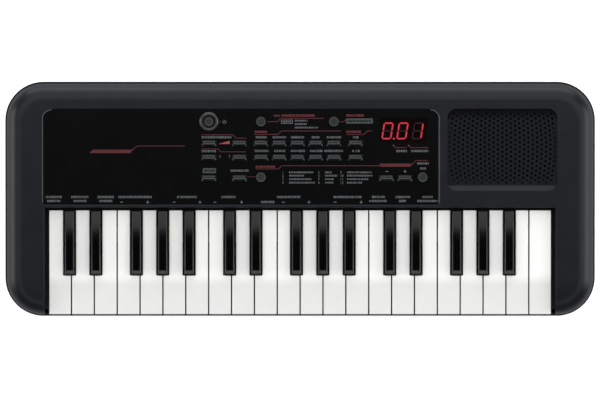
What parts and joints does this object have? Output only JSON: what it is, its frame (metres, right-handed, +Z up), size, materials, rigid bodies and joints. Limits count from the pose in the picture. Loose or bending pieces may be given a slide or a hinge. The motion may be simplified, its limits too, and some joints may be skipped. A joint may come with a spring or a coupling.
{
  "type": "electronic mini keyboard",
  "caption": "Free-standing mini keyboard: sprung piano keys, glossy panel with press buttons and a figure display, round speaker under a grille, battery bay below.",
  "frame": {"origin": "on the surface it stands on, under the middle of the case", "axes": "+X along the keys from low to high notes, +Y towards the back, +Z up"},
  "size_m": [0.506, 0.201, 0.054],
  "materials": {
    "case_plastic": "fine matt grain",
    "panel_gloss": "polished",
    "grille_plastic": "fine matt grain",
    "speaker_black": "matt",
    "button_plastic": "satin",
    "circuit_board": "lacquered",
    "display_face": "polished",
    "frame_plastic": "as moulded",
    "dome_rubber": "soft",
    "bright_steel": "plated",
    "socket_plastic": "as moulded",
    "cell_wrap": "plain wrapped",
    "foot_rubber": "matt",
    "white_key_plastic": "polished",
    "black_key_plastic": "satin"
  },
  "bodies": {
    "case": {"upper_case": "case_plastic", "lower_case": "case_plastic", "control_panel": "panel_gloss", "speaker_grille": "grille_plastic", "speaker": "speaker_black", "panel_board": "circuit_board", "led_display": "display_face", "key_frame": "frame_plastic", "contact_board": "circuit_board", "contact_rubber": "dome_rubber", "main_board": "circuit_board", "usb_socket": "bright_steel", "phones_socket": "socket_plastic", "batteries": "cell_wrap", "battery_contacts": "bright_steel", "case_screws": "bright_steel", "rubber_feet": "foot_rubber"},
    "key_c3": {"key_c3": "white_key_plastic"},
    "key_cs3": {"key_cs3": "black_key_plastic"},
    "key_d3": {"key_d3": "white_key_plastic"},
    "key_ds3": {"key_ds3": "black_key_plastic"},
    "key_e3": {"key_e3": "white_key_plastic"},
    "key_f3": {"key_f3": "white_key_plastic"},
    "key_fs3": {"key_fs3": "black_key_plastic"},
    "key_g3": {"key_g3": "white_key_plastic"},
    "key_gs3": {"key_gs3": "black_key_plastic"},
    "key_a3": {"key_a3": "white_key_plastic"},
    "key_as3": {"key_as3": "black_key_plastic"},
    "key_b3": {"key_b3": "white_key_plastic"},
    "key_c4": {"key_c4": "white_key_plastic"},
    "key_cs4": {"key_cs4": "black_key_plastic"},
    "key_d4": {"key_d4": "white_key_plastic"},
    "key_ds4": {"key_ds4": "black_key_plastic"},
    "key_e4": {"key_e4": "white_key_plastic"},
    "key_f4": {"key_f4": "white_key_plastic"},
    "key_fs4": {"key_fs4": "black_key_plastic"},
    "key_g4": {"key_g4": "white_key_plastic"},
    "key_gs4": {"key_gs4": "black_key_plastic"},
    "key_a4": {"key_a4": "white_key_plastic"},
    "key_as4": {"key_as4": "black_key_plastic"},
    "key_b4": {"key_b4": "white_key_plastic"},
    "key_c5": {"key_c5": "white_key_plastic"},
    "key_cs5": {"key_cs5": "black_key_plastic"},
    "key_d5": {"key_d5": "white_key_plastic"},
    "key_ds5": {"key_ds5": "black_key_plastic"},
    "key_e5": {"key_e5": "white_key_plastic"},
    "key_f5": {"key_f5": "white_key_plastic"},
    "key_fs5": {"key_fs5": "black_key_plastic"},
    "key_g5": {"key_g5": "white_key_plastic"},
    "key_gs5": {"key_gs5": "black_key_plastic"},
    "key_a5": {"key_a5": "white_key_plastic"},
    "key_as5": {"key_as5": "black_key_plastic"},
    "key_b5": {"key_b5": "white_key_plastic"},
    "key_c6": {"key_c6": "white_key_plastic"},
    "side_buttons": {"side_buttons": "button_plastic"},
    "voice_buttons": {"voice_buttons": "button_plastic"},
    "phrase_buttons": {"phrase_buttons": "button_plastic"},
    "round_buttons": {"round_buttons": "button_plastic"},
    "power_button": {"power_button": "button_plastic"},
    "battery_cover": {"battery_cover": "case_plastic"}
  },
  "joints": [
    {"name": "key_c3_press", "type": "hinge", "parent": "case", "child": "key_c3", "pos_m": [0, 0.00461, 0.03514], "axis": [1, 0, 0], "range_deg": [0, 3.4], "stiffness_Nm_per_rad": 0.5, "springref_deg": -2.86},
    {"name": "key_cs3_press", "type": "hinge", "parent": "case", "child": "key_cs3", "pos_m": [0, 0.00461, 0.03514], "axis": [1, 0, 0], "range_deg": [0, 3.4], "stiffness_Nm_per_rad": 0.5, "springref_deg": -2.86},
    {"name": "key_d3_press", "type": "hinge", "parent": "case", "child": "key_d3", "pos_m": [0, 0.00461, 0.03514], "axis": [1, 0, 0], "range_deg": [0, 3.4], "stiffness_Nm_per_rad": 0.5, "springref_deg": -2.86},
    {"name": "key_ds3_press", "type": "hinge", "parent": "case", "child": "key_ds3", "pos_m": [0, 0.00461, 0.03514], "axis": [1, 0, 0], "range_deg": [0, 3.4], "stiffness_Nm_per_rad": 0.5, "springref_deg": -2.86},
    {"name": "key_e3_press", "type": "hinge", "parent": "case", "child": "key_e3", "pos_m": [0, 0.00461, 0.03514], "axis": [1, 0, 0], "range_deg": [0, 3.4], "stiffness_Nm_per_rad": 0.5, "springref_deg": -2.86},
    {"name": "key_f3_press", "type": "hinge", "parent": "case", "child": "key_f3", "pos_m": [0, 0.00461, 0.03514], "axis": [1, 0, 0], "range_deg": [0, 3.4], "stiffness_Nm_per_rad": 0.5, "springref_deg": -2.86},
    {"name": "key_fs3_press", "type": "hinge", "parent": "case", "child": "key_fs3", "pos_m": [0, 0.00461, 0.03514], "axis": [1, 0, 0], "range_deg": [0, 3.4], "stiffness_Nm_per_rad": 0.5, "springref_deg": -2.86},
    {"name": "key_g3_press", "type": "hinge", "parent": "case", "child": "key_g3", "pos_m": [0, 0.00461, 0.03514], "axis": [1, 0, 0], "range_deg": [0, 3.4], "stiffness_Nm_per_rad": 0.5, "springref_deg": -2.86},
    {"name": "key_gs3_press", "type": "hinge", "parent": "case", "child": "key_gs3", "pos_m": [0, 0.00461, 0.03514], "axis": [1, 0, 0], "range_deg": [0, 3.4], "stiffness_Nm_per_rad": 0.5, "springref_deg": -2.86},
    {"name": "key_a3_press", "type": "hinge", "parent": "case", "child": "key_a3", "pos_m": [0, 0.00461, 0.03514], "axis": [1, 0, 0], "range_deg": [0, 3.4], "stiffness_Nm_per_rad": 0.5, "springref_deg": -2.86},
    {"name": "key_as3_press", "type": "hinge", "parent": "case", "child": "key_as3", "pos_m": [0, 0.00461, 0.03514], "axis": [1, 0, 0], "range_deg": [0, 3.4], "stiffness_Nm_per_rad": 0.5, "springref_deg": -2.86},
    {"name": "key_b3_press", "type": "hinge", "parent": "case", "child": "key_b3", "pos_m": [0, 0.00461, 0.03514], "axis": [1, 0, 0], "range_deg": [0, 3.4], "stiffness_Nm_per_rad": 0.5, "springref_deg": -2.86},
    {"name": "key_c4_press", "type": "hinge", "parent": "case", "child": "key_c4", "pos_m": [0, 0.00461, 0.03514], "axis": [1, 0, 0], "range_deg": [0, 3.4], "stiffness_Nm_per_rad": 0.5, "springref_deg": -2.86},
    {"name": "key_cs4_press", "type": "hinge", "parent": "case", "child": "key_cs4", "pos_m": [0, 0.00461, 0.03514], "axis": [1, 0, 0], "range_deg": [0, 3.4], "stiffness_Nm_per_rad": 0.5, "springref_deg": -2.86},
    {"name": "key_d4_press", "type": "hinge", "parent": "case", "child": "key_d4", "pos_m": [0, 0.00461, 0.03514], "axis": [1, 0, 0], "range_deg": [0, 3.4], "stiffness_Nm_per_rad": 0.5, "springref_deg": -2.86},
    {"name": "key_ds4_press", "type": "hinge", "parent": "case", "child": "key_ds4", "pos_m": [0, 0.00461, 0.03514], "axis": [1, 0, 0], "range_deg": [0, 3.4], "stiffness_Nm_per_rad": 0.5, "springref_deg": -2.86},
    {"name": "key_e4_press", "type": "hinge", "parent": "case", "child": "key_e4", "pos_m": [0, 0.00461, 0.03514], "axis": [1, 0, 0], "range_deg": [0, 3.4], "stiffness_Nm_per_rad": 0.5, "springref_deg": -2.86},
    {"name": "key_f4_press", "type": "hinge", "parent": "case", "child": "key_f4", "pos_m": [0, 0.00461, 0.03514], "axis": [1, 0, 0], "range_deg": [0, 3.4], "stiffness_Nm_per_rad": 0.5, "springref_deg": -2.86},
    {"name": "key_fs4_press", "type": "hinge", "parent": "case", "child": "key_fs4", "pos_m": [0, 0.00461, 0.03514], "axis": [1, 0, 0], "range_deg": [0, 3.4], "stiffness_Nm_per_rad": 0.5, "springref_deg": -2.86},
    {"name": "key_g4_press", "type": "hinge", "parent": "case", "child": "key_g4", "pos_m": [0, 0.00461, 0.03514], "axis": [1, 0, 0], "range_deg": [0, 3.4], "stiffness_Nm_per_rad": 0.5, "springref_deg": -2.86},
    {"name": "key_gs4_press", "type": "hinge", "parent": "case", "child": "key_gs4", "pos_m": [0, 0.00461, 0.03514], "axis": [1, 0, 0], "range_deg": [0, 3.4], "stiffness_Nm_per_rad": 0.5, "springref_deg": -2.86},
    {"name": "key_a4_press", "type": "hinge", "parent": "case", "child": "key_a4", "pos_m": [0, 0.00461, 0.03514], "axis": [1, 0, 0], "range_deg": [0, 3.4], "stiffness_Nm_per_rad": 0.5, "springref_deg": -2.86},
    {"name": "key_as4_press", "type": "hinge", "parent": "case", "child": "key_as4", "pos_m": [0, 0.00461, 0.03514], "axis": [1, 0, 0], "range_deg": [0, 3.4], "stiffness_Nm_per_rad": 0.5, "springref_deg": -2.86},
    {"name": "key_b4_press", "type": "hinge", "parent": "case", "child": "key_b4", "pos_m": [0, 0.00461, 0.03514], "axis": [1, 0, 0], "range_deg": [0, 3.4], "stiffness_Nm_per_rad": 0.5, "springref_deg": -2.86},
    {"name": "key_c5_press", "type": "hinge", "parent": "case", "child": "key_c5", "pos_m": [0, 0.00461, 0.03514], "axis": [1, 0, 0], "range_deg": [0, 3.4], "stiffness_Nm_per_rad": 0.5, "springref_deg": -2.86},
    {"name": "key_cs5_press", "type": "hinge", "parent": "case", "child": "key_cs5", "pos_m": [0, 0.00461, 0.03514], "axis": [1, 0, 0], "range_deg": [0, 3.4], "stiffness_Nm_per_rad": 0.5, "springref_deg": -2.86},
    {"name": "key_d5_press", "type": "hinge", "parent": "case", "child": "key_d5", "pos_m": [0, 0.00461, 0.03514], "axis": [1, 0, 0], "range_deg": [0, 3.4], "stiffness_Nm_per_rad": 0.5, "springref_deg": -2.86},
    {"name": "key_ds5_press", "type": "hinge", "parent": "case", "child": "key_ds5", "pos_m": [0, 0.00461, 0.03514], "axis": [1, 0, 0], "range_deg": [0, 3.4], "stiffness_Nm_per_rad": 0.5, "springref_deg": -2.86},
    {"name": "key_e5_press", "type": "hinge", "parent": "case", "child": "key_e5", "pos_m": [0, 0.00461, 0.03514], "axis": [1, 0, 0], "range_deg": [0, 3.4], "stiffness_Nm_per_rad": 0.5, "springref_deg": -2.86},
    {"name": "key_f5_press", "type": "hinge", "parent": "case", "child": "key_f5", "pos_m": [0, 0.00461, 0.03514], "axis": [1, 0, 0], "range_deg": [0, 3.4], "stiffness_Nm_per_rad": 0.5, "springref_deg": -2.86},
    {"name": "key_fs5_press", "type": "hinge", "parent": "case", "child": "key_fs5", "pos_m": [0, 0.00461, 0.03514], "axis": [1, 0, 0], "range_deg": [0, 3.4], "stiffness_Nm_per_rad": 0.5, "springref_deg": -2.86},
    {"name": "key_g5_press", "type": "hinge", "parent": "case", "child": "key_g5", "pos_m": [0, 0.00461, 0.03514], "axis": [1, 0, 0], "range_deg": [0, 3.4], "stiffness_Nm_per_rad": 0.5, "springref_deg": -2.86},
    {"name": "key_gs5_press", "type": "hinge", "parent": "case", "child": "key_gs5", "pos_m": [0, 0.00461, 0.03514], "axis": [1, 0, 0], "range_deg": [0, 3.4], "stiffness_Nm_per_rad": 0.5, "springref_deg": -2.86},
    {"name": "key_a5_press", "type": "hinge", "parent": "case", "child": "key_a5", "pos_m": [0, 0.00461, 0.03514], "axis": [1, 0, 0], "range_deg": [0, 3.4], "stiffness_Nm_per_rad": 0.5, "springref_deg": -2.86},
    {"name": "key_as5_press", "type": "hinge", "parent": "case", "child": "key_as5", "pos_m": [0, 0.00461, 0.03514], "axis": [1, 0, 0], "range_deg": [0, 3.4], "stiffness_Nm_per_rad": 0.5, "springref_deg": -2.86},
    {"name": "key_b5_press", "type": "hinge", "parent": "case", "child": "key_b5", "pos_m": [0, 0.00461, 0.03514], "axis": [1, 0, 0], "range_deg": [0, 3.4], "stiffness_Nm_per_rad": 0.5, "springref_deg": -2.86},
    {"name": "key_c6_press", "type": "hinge", "parent": "case", "child": "key_c6", "pos_m": [0, 0.00461, 0.03514], "axis": [1, 0, 0], "range_deg": [0, 3.4], "stiffness_Nm_per_rad": 0.5, "springref_deg": -2.86},
    {"name": "side_buttons_press", "type": "slide", "parent": "case", "child": "side_buttons", "axis": [0, 0.0436, -0.999], "range_m": [0, 0.001], "stiffness_N_per_m": 600, "springref_m": -0.0005},
    {"name": "voice_buttons_press", "type": "slide", "parent": "case", "child": "voice_buttons", "axis": [0, 0.0436, -0.999], "range_m": [0, 0.001], "stiffness_N_per_m": 600, "springref_m": -0.0005},
    {"name": "phrase_buttons_press", "type": "slide", "parent": "case", "child": "phrase_buttons", "axis": [0, 0.0436, -0.999], "range_m": [0, 0.001], "stiffness_N_per_m": 600, "springref_m": -0.0005},
    {"name": "round_buttons_press", "type": "slide", "parent": "case", "child": "round_buttons", "axis": [0, 0.0436, -0.999], "range_m": [0, 0.001], "stiffness_N_per_m": 600, "springref_m": -0.0005},
    {"name": "power_button_press", "type": "slide", "parent": "case", "child": "power_button", "axis": [0, 0.0436, -0.999], "range_m": [0, 0.001], "stiffness_N_per_m": 600, "springref_m": -0.0005},
    {"name": "battery_cover_open", "type": "hinge", "parent": "case", "child": "battery_cover", "pos_m": [0, 0.01675, 0.0025], "axis": [-1, 0, 0], "range_deg": [0, 60]}
  ]
}
